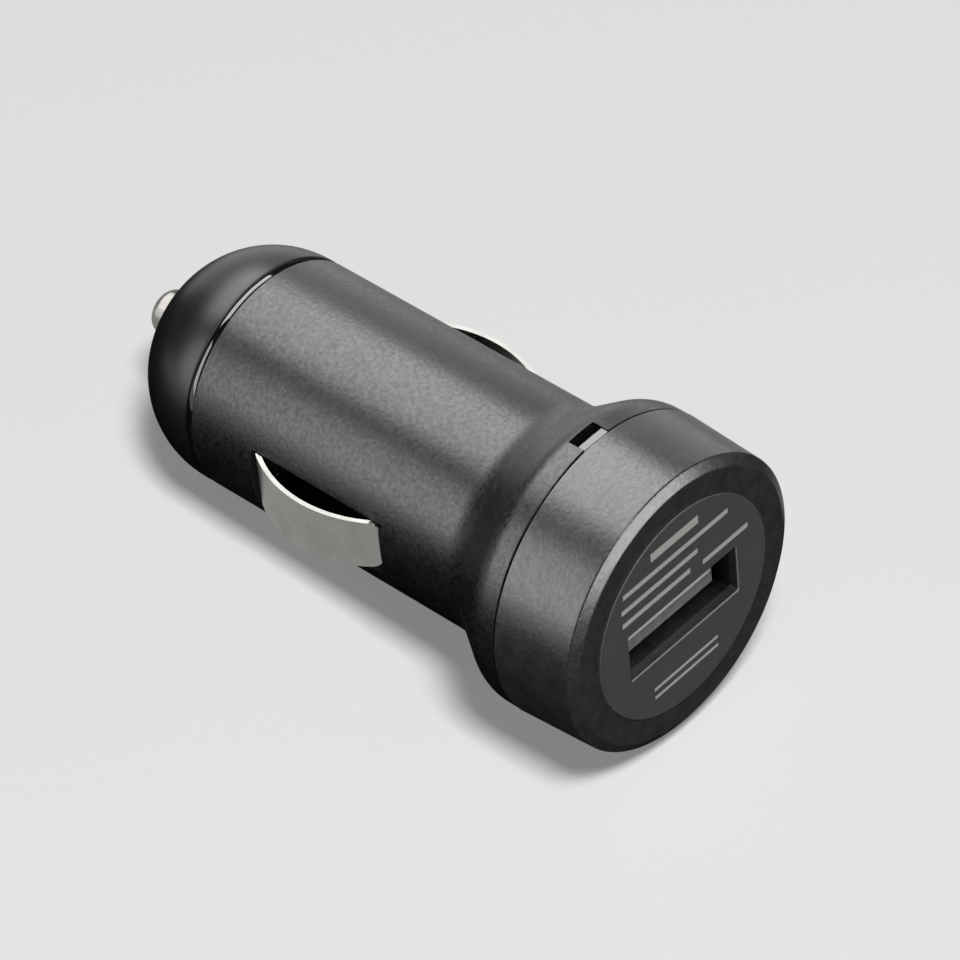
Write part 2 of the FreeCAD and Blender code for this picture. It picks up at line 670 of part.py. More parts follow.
def capacitor_can(y):
    """Electrolytic can: square base with two cut corners, grooved can."""
    side = CAN_R
    cut = CAN_R / 2
    base = plate(
        (-side, y - side),
        ((side, y - side),),
        ((side, y + side - cut),),
        ((side - cut, y + side),),
        ((-side + cut, y + side),),
        ((-side, y + side - cut),),
        z0=BOARD_TOP, z1=BOARD_TOP + CAN_BASE,
    )
    low = BOARD_TOP + CAN_BASE
    can = post(CAN_R, 0, y, low, BOARD_TOP + CAN_HEIGHT)
    groove_z = low + CAN_BASE
    ring = post(CAN_R + FEATHER, 0, y, groove_z, groove_z + 2 * CAN_GROOVE)
    ring = ring.cut(post(CAN_R - CAN_GROOVE, 0, y, groove_z, groove_z + 2 * CAN_GROOVE))
    return base.fuse(can.cut(ring)).removeSplitter()


def inductor_core():
    """Ferrite drum: two flanges on a hub."""
    top = BOARD_TOP + DRUM_HEIGHT
    low_flange = post(DRUM_R, 0, DRUM_Y, BOARD_TOP, BOARD_TOP + DRUM_FLANGE)
    high_flange = post(DRUM_R, 0, DRUM_Y, top - DRUM_FLANGE, top)
    return low_flange.fuse([post(DRUM_HUB_R, 0, DRUM_Y, BOARD_TOP, top), high_flange]).removeSplitter()


def inductor_winding():
    """Wound copper between the drum's flanges, each turn of the outer layer a round ridge."""
    length = DRUM_HEIGHT - 2 * DRUM_FLANGE
    pitch = length / COIL_TURNS
    valley = COIL_R - pitch / 2
    ridges = []
    for turn in range(COIL_TURNS):
        ridges.append(((COIL_R, (turn + 0.5) * pitch), (valley, (turn + 1) * pitch)))
    sleeve = turned((DRUM_HUB_R, 0), ((valley, 0),), *ridges, ((DRUM_HUB_R, length),))
    sleeve.rotate(V(0, 0, 0), V(1, 0, 0), 90)
    sleeve.translate(V(0, DRUM_Y, BOARD_TOP + DRUM_FLANGE))
    return sleeve


def regulator_chip():
    """Eight-legged chip on the board's underside."""
    wide, long, tall = CHIP_SIZE
    body_top = BOARD_BOTTOM - SNUG_GAP
    chip = block((-wide / 2, wide / 2), (CHIP_Y - long / 2, CHIP_Y + long / 2), (body_top - tall, body_top))
    middle = body_top - tall / 2
    for row in range(4):
        y = CHIP_Y + (row - 1.5) * CHIP_LEG_PITCH
        leg_y = (y - CHIP_LEG_WIDTH / 2, y + CHIP_LEG_WIDTH / 2)
        knee = wide / 2 + CHIP_LEG_REACH / 2
        for side in (-1, 1):
            arm = block((0, knee), leg_y, (middle - CHIP_LEG_THICK / 2, middle + CHIP_LEG_THICK / 2))
            rise = block((knee - CHIP_LEG_THICK, knee), leg_y, (middle, BOARD_BOTTOM))
            pad = block((knee - CHIP_LEG_THICK, wide / 2 + CHIP_LEG_REACH), leg_y,
                        (BOARD_BOTTOM - CHIP_LEG_THICK, BOARD_BOTTOM))
            leg = arm.fuse([rise, pad])
            chip = chip.fuse(leg if side > 0 else mirrored(leg))
    return chip.removeSplitter()


def under_board(size, x, y, gap=0.0):
    """Box hanging on the board's underside."""
    wide, long, tall = size
    top = BOARD_BOTTOM - gap
    return block((x - wide / 2, x + wide / 2), (y - long / 2, y + long / 2), (top - tall, top))


def rectifier_diode():
    """Moulded diode with a folded tab at each end."""
    wide, long, tall = DIODE_SIZE
    body = under_board(DIODE_SIZE, 0, DIODE_Y, SNUG_GAP)
    tab = under_board((wide / 2, long + 2 * DIODE_TAB, tall / 2), 0, DIODE_Y)
    return body.fuse(tab).removeSplitter()


def fuse():
    """Square-bodied fuse with metal end caps slightly larger than its body."""
    wide, long, tall = FUSE_SIZE
    body = under_board((wide - 2 * SNUG_GAP, long, tall - 2 * SNUG_GAP), 0, FUSE_Y, SNUG_GAP)
    for side in (-1, 1):
        y = FUSE_Y + side * (long - FUSE_CAP) / 2
        body = body.fuse(under_board((wide, FUSE_CAP, tall), 0, y))
    return body.removeSplitter()


def small_chips(x, ys):
    """Row of chip parts beside each other on the underside."""
    return Part.makeCompound([under_board(SMALL_CHIP, x, y) for y in ys])


def board_holes():
    """Plated holes for the port's tails and the lamp's leads."""
    radius = PIN_TAIL_WIDTH / 2 + SNUG_GAP
    tail_y = PIN_TAIL_Y + PIN_THICK / 2
    holes = [post(radius, x, tail_y, BOARD_BOTTOM - 1, BOARD_TOP + 1) for x in PIN_PITCHES]
    lead_r = LED_LEAD_R + SNUG_GAP
    for x in (-LED_LEAD_PITCH / 2, LED_LEAD_PITCH / 2):
        holes.append(post(lead_r, x, LEAD_Y, BOARD_BOTTOM - 1, BOARD_TOP + 1))
    return holes


def main():
    """Build every piece and write it."""
    os.makedirs("parts", exist_ok=True)
    upper, lower = half_shells()
    leaf = side_contact()
    contacts = [usb_contact(x) for x in PIN_PITCHES]
    pieces = {
        "upper_shell": upper,
        "lower_shell": lower,
        "head_cap": head_cap(),
        "label": label(),
        "nose_cap": nose_cap(),
        "nose_ring": nose_ring(),
        "tip_contact": tip_contact(),
        "tip_spring": tip_spring(),
        "spring_terminal": spring_terminal(),
        "side_contact_right": leaf,
        "side_contact_left": mirrored(leaf),
        "light_pipe": light_pipe(),
        "indicator_led": indicator_led(),
        "usb_shell": usb_shell(),
        "usb_contacts": Part.makeCompound(contacts),
        "usb_tongue": usb_tongue(contacts),
        "circuit_board": circuit_board(board_holes()),
        "output_capacitor": capacitor_can(OUTPUT_CAN_Y),
        "inductor_core": inductor_core(),
        "inductor_winding": inductor_winding(),
        "input_capacitor": capacitor_can(INPUT_CAN_Y),
        "regulator_chip": regulator_chip(),
        "rectifier_diode": rectifier_diode(),
        "fuse": fuse(),
        "chip_resistors": small_chips(-SMALL_CHIP_X, RESISTOR_YS),
        "chip_capacitors": small_chips(SMALL_CHIP_X, CAPACITOR_YS),
    }
    for node, shape in pieces.items():
        save(node, shape)


main()
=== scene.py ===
"""Studio picture of a car charger adapter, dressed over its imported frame.

The plug lies along Y with its port towards -Y and its tip towards +Y. All lengths are metres, and
sizes are written as multiples of a millimetre.
"""
import logging
import math
from dataclasses import dataclass
from enum import Enum
from typing import Callable, Sequence

import bmesh
import bpy
from mathutils import Matrix, Vector


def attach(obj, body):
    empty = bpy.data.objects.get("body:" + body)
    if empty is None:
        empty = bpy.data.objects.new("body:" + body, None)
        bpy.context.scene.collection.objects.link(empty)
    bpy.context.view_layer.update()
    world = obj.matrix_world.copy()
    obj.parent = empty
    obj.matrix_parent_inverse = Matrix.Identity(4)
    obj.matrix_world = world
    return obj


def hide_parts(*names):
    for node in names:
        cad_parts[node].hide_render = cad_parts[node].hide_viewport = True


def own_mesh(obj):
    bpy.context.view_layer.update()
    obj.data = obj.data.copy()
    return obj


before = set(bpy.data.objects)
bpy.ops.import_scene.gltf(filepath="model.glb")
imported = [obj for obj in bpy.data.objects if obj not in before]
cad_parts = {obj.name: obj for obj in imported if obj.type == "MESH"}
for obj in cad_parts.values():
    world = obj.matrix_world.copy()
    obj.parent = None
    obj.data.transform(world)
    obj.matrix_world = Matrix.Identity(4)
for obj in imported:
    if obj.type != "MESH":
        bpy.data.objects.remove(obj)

LOG = logging.getLogger("car_charger")

MM = 0.001
BEYOND = 1.0 * MM  # how far a cutter reaches past what it cuts
SAME_POINT = 1e-7  # points closer than this are one
FULL_TURN = 2 * math.pi
ROUND_STEPS = 224  # facets round a full turn
SMOOTH_ANGLE = math.radians(28.0)
BEVEL_ANGLE = math.radians(32.0)
CORNER_SHARE = 0.3  # most of an edge that a rounding may take
NOISE_RANGE = (0.3, 0.7)  # where most of a noise's values lie
MIX_UNDER, MIX_OVER, MIX_RESULT = 6, 7, 2  # colour sockets of the mix node
WHITE = (1.0, 1.0, 1.0, 1.0)
BLACK = (0.0, 0.0, 0.0, 1.0)

Point = tuple[float, float]
Colour = tuple[float, float, float]


class Body(str, Enum):
    """The rigid bodies that pieces ride on."""

    HOUSING = "housing"
    TIP = "tip"
    LEFT_LEAF = "left_leaf"
    RIGHT_LEAF = "right_leaf"


class Side(Enum):
    """Which side of the barrel a leaf stands on, as the sign of X."""

    LEFT = -1
    RIGHT = 1


class Join(str, Enum):
    """How shapes change a piece: taken away from it or added to it."""

    AWAY = "DIFFERENCE"
    ONTO = "UNION"


class Receiver(str, Enum):
    """Which pieces a lamp falls on."""

    EVERYTHING = "everything"
    BLACK_PLASTIC = "black_plastic_pieces"
    DULL_PLASTIC = "dull_plastic_pieces"
    OTHER_PIECES = "other_pieces"

    def group(self) -> bpy.types.Collection:
        """Collection of the pieces, made when it is first asked for; the black ones hold the dull ones."""
        found = bpy.data.collections.get(self.value)
        if found is None:
            found = bpy.data.collections.new(self.value)
            if self is Receiver.BLACK_PLASTIC:
                found.children.link(Receiver.DULL_PLASTIC.group())
        return found


def link(obj: bpy.types.Object) -> bpy.types.Object:
    """Put an object into the scene's own collection and return it."""
    bpy.context.scene.collection.objects.link(obj)
    return obj


def object_from(name: str, mesh_data: bmesh.types.BMesh) -> bpy.types.Object:
    """Turn a bmesh into a shown object with clean outward normals.

    Args:
        name: Name of the new piece.
        mesh_data: The geometry, which is freed here.

    Returns:
        The new object.
    """
    bmesh.ops.remove_doubles(mesh_data, verts=mesh_data.verts, dist=SAME_POINT)
    bmesh.ops.recalc_face_normals(mesh_data, faces=mesh_data.faces)
    mesh = bpy.data.meshes.new(name)
    mesh_data.to_mesh(mesh)
    mesh_data.free()
    return link(bpy.data.objects.new(name, mesh))


def lathe(profile: Sequence[Point], sweep: float = FULL_TURN, start: float = 0.0) -> bmesh.types.BMesh:
    """Revolve a closed outline about the plug's axis.

    Args:
        profile: (radius, y) points of the closed section.
        sweep: Angle of the revolution; less than a full turn gets flat end faces.
        start: Angle from +X towards +Z at which the sweep starts.

    Returns:
        The closed solid.
    """
    solid = bmesh.new()
    full = sweep == FULL_TURN
    steps = round(ROUND_STEPS * sweep / FULL_TURN)
    rings = []
    for step in range(steps if full else steps + 1):
        angle = start + sweep * step / steps
        turn = (math.cos(angle), math.sin(angle))
        rings.append([solid.verts.new((r * turn[0], y, r * turn[1])) for r, y in profile])
    count = len(profile)
    for index in range(steps):
        here = rings[index]
        there = rings[(index + 1) % len(rings)]
        for k in range(count):
            after = (k + 1) % count
            if max(profile[k][0], profile[after][0]) > 0:
                solid.faces.new((here[k], here[after], there[after], there[k]))
    if not full:
        solid.faces.new(rings[0])
        solid.faces.new(list(reversed(rings[-1])))
    return solid


def arc(centre: Point, radius: float, first: float, last: float, steps: int = 24) -> list[Point]:
    """Points along a circular arc.

    Args:
        centre: Centre of the arc.
        radius: Its radius.
        first: Start angle in degrees, from the first coordinate towards the second.
        last: End angle in degrees.
        steps: Number of chords.

    Returns:
        The points, both ends included.
    """
    angles = [math.radians(first + (last - first) * k / steps) for k in range(steps + 1)]
    return [(centre[0] + radius * math.cos(a), centre[1] + radius * math.sin(a)) for a in angles]


def rounded(outline: Sequence[Point], radius: float, steps: int = 4) -> list[Point]:
    """Round the sharp corners of a closed outline and add points close to them, for clean shading.

    Args:
        outline: Points of the closed outline.
        radius: Distance from a corner at which its rounding starts.
        steps: Chords across a rounding.

    Returns:
        The new outline.
    """
    points: list[Point] = []
    count = len(outline)
    for k in range(count):
        corner = Vector(outline[k])
        before = Vector(outline[k - 1]) - corner
        after = Vector(outline[(k + 1) % count]) - corner
        if corner.x <= 0 or before.angle(-after) < SMOOTH_ANGLE:
            points.append(tuple(corner))
            continue
        reach = min(radius, CORNER_SHARE * before.length, CORNER_SHARE * after.length)
        first = corner + before.normalized() * reach
        last = corner + after.normalized() * reach
        points.append(tuple(first + before.normalized() * reach))
        for step in range(steps + 1):
            share = step / steps
            points.append(tuple(first.lerp(corner, share).lerp(corner.lerp(last, share), share)))
        points.append(tuple(last + after.normalized() * reach))
    return points


def prism(outline: Sequence[Point], low: float, high: float, place: Callable[[float, float, float], Vector]
          ) -> bmesh.types.BMesh:
    """Raise a flat outline into a solid.

    Args:
        outline: Points of the closed outline.
        low: Start of the rise.
        high: End of the rise.
        place: Turns (first, second, height) into a point in space.

    Returns:
        The closed solid.
    """
    solid = bmesh.new()
    bottom = [solid.verts.new(place(a, b, low)) for a, b in outline]
    top = [solid.verts.new(place(a, b, high)) for a, b in outline]
    count = len(outline)
    for k in range(count):
        after = (k + 1) % count
        solid.faces.new((bottom[k], bottom[after], top[after], top[k]))
    solid.faces.new(list(reversed(bottom)))
    solid.faces.new(top)
    return solid


def upright(a: float, b: float, height: float) -> Vector:
    """Outline in XY, rising along Z."""
    return Vector((a, b, height))


def rounded_rectangle(width: float, height: float, corner: float, centre: Point = (0.0, 0.0)) -> list[Point]:
    """Outline of a rectangle with round corners.

    Args:
        width: Size in the first direction.
        height: Size in the second direction.
        corner: Corner radius.
        centre: Middle of the rectangle.

    Returns:
        The closed outline.
    """
    points: list[Point] = []
    for quarter, (sx, sz) in enumerate(((1, 1), (-1, 1), (-1, -1), (1, -1))):
        middle = (centre[0] + sx * (width / 2 - corner), centre[1] + sz * (height / 2 - corner))
        points += arc(middle, corner, 90 * quarter, 90 * quarter + 90, steps=6)
    return points


def box_cutter(low: Sequence[float], high: Sequence[float]) -> bpy.types.Object:
    """Plain box between its lowest and highest corner, to cut another piece or to join it."""
    outline = [(low[0], low[1]), (high[0], low[1]), (high[0], high[1]), (low[0], high[1])]
    return object_from("cutter", prism(outline, low[2], high[2], upright))


def settle(obj: bpy.types.Object) -> None:
    """Make an object's modifiers part of its mesh."""
    graph = bpy.context.evaluated_depsgraph_get()
    mesh = bpy.data.meshes.new_from_object(obj.evaluated_get(graph))
    mesh.name = obj.name
    obj.modifiers.clear()
    obj.data = mesh


def carve(obj: bpy.types.Object, shapes: Sequence[bpy.types.Object], way: Join = Join.AWAY) -> None:
    """Cut shapes out of a piece, or add them to it, and remove the shapes.

    Args:
        obj: The piece to change.
        shapes: The shapes to take away or to add.
        way: Whether they are taken away or added.
    """
    for shape in shapes:
        cut = obj.modifiers.new("carve", "BOOLEAN")
        cut.operation = way.value
        cut.solver = "EXACT"
        cut.object = shape
    settle(obj)
    for shape in shapes:
        bpy.data.objects.remove(shape)


def smooth(obj: bpy.types.Object) -> None:
    """Shade a piece smooth except across its sharp edges."""
    obj.data.shade_smooth()
    obj.data.set_sharp_from_angle(angle=SMOOTH_ANGLE)


def soften(obj: bpy.types.Object, width: float, segments: int = 3) -> None:
    """Round a piece's sharp edges and shade it smooth.

    Args:
        obj: The piece.
        width: Width of the rounding.
        segments: Facets across the rounding.
    """
    smooth(obj)
    bevel = obj.modifiers.new("edge_round", "BEVEL")
    bevel.limit_method = "ANGLE"
    bevel.angle_limit = BEVEL_ANGLE
    bevel.width = width
    bevel.segments = segments
    bevel.harden_normals = True
    bevel.use_clamp_overlap = True
    settle(obj)


class NodeTree:
    """Short way to add and join the nodes of one material."""

    def __init__(self, name: str) -> None:
        """Start a node material with one principled shader.

        Args:
            name: Name of the material.
        """
        self.material = bpy.data.materials.new(name)
        self.material.use_nodes = True
        self.nodes = self.material.node_tree.nodes
        self.links = self.material.node_tree.links
        self.shader = self.nodes["Principled BSDF"]

    def add(self, kind: str, **values: object) -> bpy.types.Node:
        """Add a node and set its properties.

        Args:
            kind: Blender's name of the node type.
            values: Properties to set on the node.

        Returns:
            The new node.
        """
        node = self.nodes.new(kind)
        for key, value in values.items():
            setattr(node, key, value)
        return node

    def join(self, source: bpy.types.NodeSocket, node: bpy.types.Node, socket: str | int) -> None:
        """Link one output to an input of another node."""
        self.links.new(source, node.inputs[socket])

    def position(self) -> bpy.types.NodeSocket:
        """Output that gives a point's place on the object."""
        return self.add("ShaderNodeTexCoord").outputs["Object"]

    def noise(self, size: float, detail: float = 2.0, stretch: Sequence[float] = (1, 1, 1)
              ) -> bpy.types.NodeSocket:
        """Noise over the object.

        Args:
            size: Rough size of one grain.
            detail: Number of finer layers.
            stretch: How much the pattern is packed along each axis.

        Returns:
            The noise value from 0 to 1.
        """
        mapping = self.add("ShaderNodeMapping")
        mapping.inputs["Scale"].default_value = stretch
        self.join(self.position(), mapping, "Vector")
        node = self.add("ShaderNodeTexNoise")
        node.inputs["Scale"].default_value = 1.0 / size
        node.inputs["Detail"].default_value = detail
        self.join(mapping.outputs["Vector"], node, "Vector")
        return node.outputs["Fac"]

    def spread(self, value: bpy.types.NodeSocket, low: float, high: float) -> bpy.types.NodeSocket:
        """Map the middle of a noise onto a range.

        Args:
            value: Noise from 0 to 1.
            low: Result for the low side.
            high: Result for the high side.

        Returns:
            The mapped value.
        """
        node = self.add("ShaderNodeMapRange")
        for socket, limit in zip(("From Min", "From Max", "To Min", "To Max"), (*NOISE_RANGE, low, high)):
            node.inputs[socket].default_value = limit
        self.join(value, node, "Value")
        return node.outputs["Result"]

    def tint(self, value: bpy.types.NodeSocket, dark: Colour, light: Colour) -> bpy.types.NodeSocket:
        """Colour between two tones, driven by a noise.

        Args:
            value: Noise from 0 to 1.
            dark: Colour on the low side.
            light: Colour on the high side.

        Returns:
            The colour output.
        """
        ramp = self.add("ShaderNodeValToRGB")
        for element, position, colour in zip(ramp.color_ramp.elements, NOISE_RANGE, (dark, light)):
            element.position = position
            element.color = (*colour, 1.0)
        self.join(value, ramp, "Fac")
        return ramp.outputs["Color"]

    def bump(self, height: bpy.types.NodeSocket, depth: float) -> None:
        """Give the shader a bumped normal.

        Args:
            height: Height from 0 to 1.
            depth: Depth of the relief in metres.
        """
        node = self.add("ShaderNodeBump")
        node.inputs["Strength"].default_value = 1.0
        node.inputs["Distance"].default_value = depth
        self.join(height, node, "Height")
        self.join(node.outputs["Normal"], self.shader, "Normal")

    def put(self, socket: str, value: object) -> None:
        """Set one of the shader's own values."""
        self.shader.inputs[socket].default_value = value


def shaded(colour: Colour, factor: float) -> Colour:
    """Colour made lighter or darker by a factor."""
    return (colour[0] * factor, colour[1] * factor, colour[2] * factor)


@dataclass(frozen=True)
class MouldedPlastic:
    """Moulded plastic, resin or ceramic, from spark-textured to polished."""

    name: str
    colour: Colour
    roughness: float
    grain: float
    depth: float
    specular: float = 0.5
    speckle: float = 0.15
    cloud: float = 4.0  # size of the colour's clouds, in grains

    def build(self) -> bpy.types.Material:
        """Make the material.

        Returns:
            The finished material.
        """
        tree = NodeTree(self.name)
        cloud = tree.noise(self.cloud * self.grain, detail=3.0)
        grain = tree.noise(self.grain)
        dark, light = (shaded(self.colour, tone) for tone in (1 - self.speckle, 1 + self.speckle))
        tree.join(tree.tint(cloud, dark, light), tree.shader, "Base Color")
        swing = self.roughness * self.speckle / 2
        tree.join(tree.spread(grain, self.roughness - swing, self.roughness + swing), tree.shader, "Roughness")
        tree.put("Specular IOR Level", self.specular)
        tree.bump(grain, self.depth)
        return tree.material


@dataclass(frozen=True)
class PlatedMetal:
    """Plated strip or turned metal with faint drawing lines."""

    name: str
    colour: Colour
    roughness: float
    line: float = 0.12 * MM
    depth: float = 0.004 * MM
    stretch: tuple[float, float, float] = (1.0, 0.06, 1.0)
    cloud: float = 1.6 * MM
    tones: Point = (0.9, 1.06)
    sheen: Point = (0.8, 1.25)

    def build(self) -> bpy.types.Material:
        """Make the material.

        Returns:
            The finished material.
        """
        tree = NodeTree(self.name)
        lines = tree.noise(self.line, stretch=self.stretch)
        cloud = tree.noise(self.cloud, detail=3.0)
        dark, light = (shaded(self.colour, tone) for tone in self.tones)
        low, high = (self.roughness * share for share in self.sheen)
        tree.join(tree.tint(cloud, dark, light), tree.shader, "Base Color")
        tree.join(tree.spread(lines, low, high), tree.shader, "Roughness")
        tree.put("Metallic", 1.0)
        tree.bump(lines, self.depth)
        return tree.material


@dataclass(frozen=True)
class ClearPlastic:
    """Milky clear plastic of the light pipe."""

    name: str
    colour: Colour
    roughness: float
    transmission: float
    specular: float = 0.5
    ior: float = 1.49
    flow: float = 0.8 * MM
    flow_tone: float = 0.94
    depth: float = 0.003 * MM

    def build(self) -> bpy.types.Material:
        """Make the material.

        Returns:
            The finished material.
        """
        tree = NodeTree(self.name)
        flow = tree.noise(self.flow)
        dark = shaded(self.colour, self.flow_tone)
        tree.join(tree.tint(flow, dark, self.colour), tree.shader, "Base Color")
        tree.put("Roughness", self.roughness)
        tree.put("Transmission Weight", self.transmission)
        tree.put("IOR", self.ior)
        tree.put("Specular IOR Level", self.specular)
        tree.bump(flow, self.depth)
        return tree.material


@dataclass(frozen=True)
class PrintedFilm:
    """Dark printed label film with plain bars above and below the port, pale on its cut edge.

    Each bar is its middle's x and z, its width and its height, in millimetres.
    """

    name: str
    colour: Colour
    ink: Colour
    core: Colour
    core_depth: Point
    roughness: float
    specular: float
    bars: tuple[tuple[float, float, float, float], ...]
    cloud: float = 1.5 * MM
    tones: Point = (0.92, 1.08)
    grain: float = 0.16 * MM
    swing: float = 0.05
    depth: float = 0.006 * MM

    def build(self) -> bpy.types.Material:
        """Make the material.

        Returns:
            The finished material.
        """
        tree = NodeTree(self.name)
        cloud = tree.noise(self.cloud, detail=3.0)
        film = tree.tint(cloud, *(shaded(self.colour, tone) for tone in self.tones))
        split = tree.add("ShaderNodeSeparateXYZ")
        tree.join(tree.position(), split, "Vector")
        printed = self.laid_over(tree, film, self.ink, self.bar_mask(tree, split))
        edge = self.near(tree, split.outputs["Y"], *self.core_depth)
        tree.join(self.laid_over(tree, printed, self.core, edge), tree.shader, "Base Color")
        grain = tree.noise(self.grain)
        low, high = self.roughness - self.swing, self.roughness + self.swing
        tree.join(tree.spread(grain, low, high), tree.shader, "Roughness")
        tree.put("Specular IOR Level", self.specular)
        tree.bump(grain, self.depth)
        return tree.material

    @staticmethod
    def laid_over(tree: NodeTree, under: bpy.types.NodeSocket, colour: Colour, mask: bpy.types.NodeSocket
                  ) -> bpy.types.NodeSocket:
        """One flat colour over another layer, where a mask is 1.

        Args:
            tree: The material's nodes.
            under: The layer below.
            colour: The colour on top.
            mask: Where it shows.

        Returns:
            The colour output.
        """
        mix = tree.add("ShaderNodeMix", data_type="RGBA")
        tree.join(mask, mix, "Factor")
        tree.join(under, mix, MIX_UNDER)
        mix.inputs[MIX_OVER].default_value = (*colour, 1.0)
        return mix.outputs[MIX_RESULT]

    def bar_mask(self, tree: NodeTree, split: bpy.types.Node) -> bpy.types.NodeSocket:
        """Mask that is 1 on the printed bars.

        Args:
            tree: The material's nodes.
            split: Node that gives the place's three coordinates.

        Returns:
            The mask output.
        """
        total: bpy.types.NodeSocket | None = None
        for x, z, width, height in self.bars:
            inside = self.near(tree, split.outputs["X"], x * MM, width * MM / 2)
            level = self.near(tree, split.outputs["Z"], z * MM, height * MM / 2)
            bar = tree.add("ShaderNodeMath", operation="MULTIPLY")
            tree.join(inside, bar, 0)
            tree.join(level, bar, 1)
            if total is None:
                total = bar.outputs["Value"]
                continue
            both = tree.add("ShaderNodeMath", operation="MAXIMUM")
            tree.join(total, both, 0)
            tree.join(bar.outputs["Value"], both, 1)
            total = both.outputs["Value"]
        return total

    @staticmethod
    def near(tree: NodeTree, value: bpy.types.NodeSocket, middle: float, reach: float) -> bpy.types.NodeSocket:
        """Mask that is 1 within a distance of one coordinate.

        Args:
            tree: The material's nodes.
            value: The coordinate.
            middle: Centre of the band.
            reach: Half of its width.

        Returns:
            The mask output.
        """
        node = tree.add("ShaderNodeMath", operation="COMPARE")
        tree.join(value, node, 0)
        node.inputs[1].default_value = middle
        node.inputs[2].default_value = reach
        return node.outputs["Value"]


@dataclass
class Piece:
    """Small record of a finished piece and where it belongs."""

    obj: bpy.types.Object
    body: Body
    slot: str
    nodes: tuple[str, ...]
    lit: Receiver

    def fit(self, material: bpy.types.Material) -> None:
        """Dress the piece, let it ride on its body and stand for its nodes.

        Args:
            material: The finish.
        """
        self.obj.data.materials.clear()
        self.obj.data.materials.append(material)
        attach(self.obj, self.body.value)
        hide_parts(*self.nodes)
        self.lit.group().objects.link(self.obj)
        LOG.info("piece %s rides on %s", self.obj.name, self.body.value)


@dataclass
class Barrel:
    """Two half shells: spigot, shoulder, flare and barrel, with the contact slots and the window."""

    radius: float = 10.3 * MM
    wall: float = 1.6 * MM
    end: float = 43.92 * MM
    end_round: float = 0.12 * MM
    shoulder_radius: float = 13.42 * MM
    shoulder_start: float = 7.9 * MM
    shoulder_flat: float = 1.1 * MM
    shoulder_round: float = 3.4 * MM
    flare_angle: float = 34.0
    flare_fillet: float = 5.5 * MM
    spigot_radius: float = 11.9 * MM
    spigot_wall: float = 1.5 * MM
    spigot_start: float = 2.7 * MM
    bore_start: float = 13.27 * MM
    slot_half_height: float = 2.87 * MM
    slot_start: float = 22.85 * MM
    slot_end: float = 37.15 * MM
    slot_inner: float = 6.5 * MM
    window_width: float = 2.9 * MM
    window_length: float = 1.65 * MM
    window_depth: float = 0.5 * MM
    seam_overlap: float = 0.01 * MM
    groove: float = 0.1 * MM
    edge: float = 0.08 * MM
    finish: MouldedPlastic = MouldedPlastic("textured_black_plastic", (0.0085, 0.0088, 0.0092), 0.35,
                                            0.38 * MM, 0.018 * MM, 0.4, 0.42)

    def outside(self, inset: float = 0.0) -> list[Point]:
        """Outer side of the shells, from the head seam to the barrel's end.

        Args:
            inset: How much smaller the outside is taken.

        Returns:
            (radius, y) points.
        """
        turn = math.radians(self.flare_angle)
        round_start = self.shoulder_start + self.shoulder_flat
        round_centre = (self.shoulder_radius - self.shoulder_round, round_start)
        convex = arc(round_centre, self.shoulder_round, 0, self.flare_angle, steps=14)
        fillet_top = self.radius + self.flare_fillet * (1 - math.cos(turn))
        slant = (convex[-1][0] - fillet_top) / math.tan(turn)
        fillet_start = convex[-1][1] + slant
        fillet_centre = (self.radius + self.flare_fillet, fillet_start + self.flare_fillet * math.sin(turn))
        concave = arc(fillet_centre, self.flare_fillet, 180 + self.flare_angle, 180, steps=14)
        end_centre = (self.radius - self.end_round, self.end - self.end_round)
        outer = [(self.shoulder_radius, self.shoulder_start)] + convex + concave
        outer += arc(end_centre, self.end_round, 0, 90, steps=5)
        return [(r - inset, y) for r, y in outer]

    def profile(self) -> list[Point]:
        """Section of the shells.

        Returns:
            Closed (radius, y) outline.
        """
        bore = self.radius - self.wall
        spigot_bore = self.spigot_radius - self.spigot_wall
        outline = [
            (spigot_bore, self.spigot_start),
            (self.spigot_radius, self.spigot_start),
            (self.spigot_radius, self.shoulder_start),
        ]
        outline += self.outside()
        outline += [
            (bore, self.end),
            (bore, self.bore_start),
            (spigot_bore, self.shoulder_start + self.shoulder_flat),
        ]
        return rounded(outline, self.edge)

    def parting_groove(self) -> bpy.types.Object:
        """Cutter of the fine groove round the outside where the two halves meet."""
        reach = 2 * self.shoulder_radius
        slab = box_cutter((-reach, 0.0, -self.groove / 2), (reach, self.end + BEYOND, self.groove / 2))
        kept = self.outside(self.groove)
        top = self.end + 2 * BEYOND
        core = [(0.0, -BEYOND), (kept[0][0], -BEYOND)] + kept[1:] + [(kept[-1][0], top), (0.0, top)]
        carve(slab, [object_from("core", lathe(core))])
        return slab

    def slots(self) -> list[bpy.types.Object]:
        """Cutters of the two contact slots."""
        far = self.shoulder_radius
        tall = self.slot_half_height
        cutters = []
        for low, high in ((self.slot_inner, far), (-far, -self.slot_inner)):
            cutters.append(box_cutter((low, self.slot_start, -tall), (high, self.slot_end, tall)))
        return cutters

    def window(self) -> bpy.types.Object:
        """Cutter of the indicator window beside the head seam."""
        half = self.window_width / 2
        bottom = self.spigot_radius - self.spigot_wall - self.window_depth
        low = (-half, self.shoulder_start - self.seam_overlap, bottom)
        high = (half, self.shoulder_start + self.window_length, self.shoulder_radius + BEYOND)
        return box_cutter(low, high)

    def build(self) -> None:
        """Make and dress both half shells."""
        material = self.finish.build()
        for node, start in (("upper_shell", 0.0), ("lower_shell", math.pi)):
            obj = object_from(node + "_skin", lathe(self.profile(), math.pi, start))
            cutters = self.slots() + [self.parting_groove()]
            if node == "upper_shell":
                cutters.append(self.window())
            carve(obj, cutters)
            smooth(obj)
            Piece(obj, Body.HOUSING, "shell_plastic", (node,), Receiver.DULL_PLASTIC).fit(material)


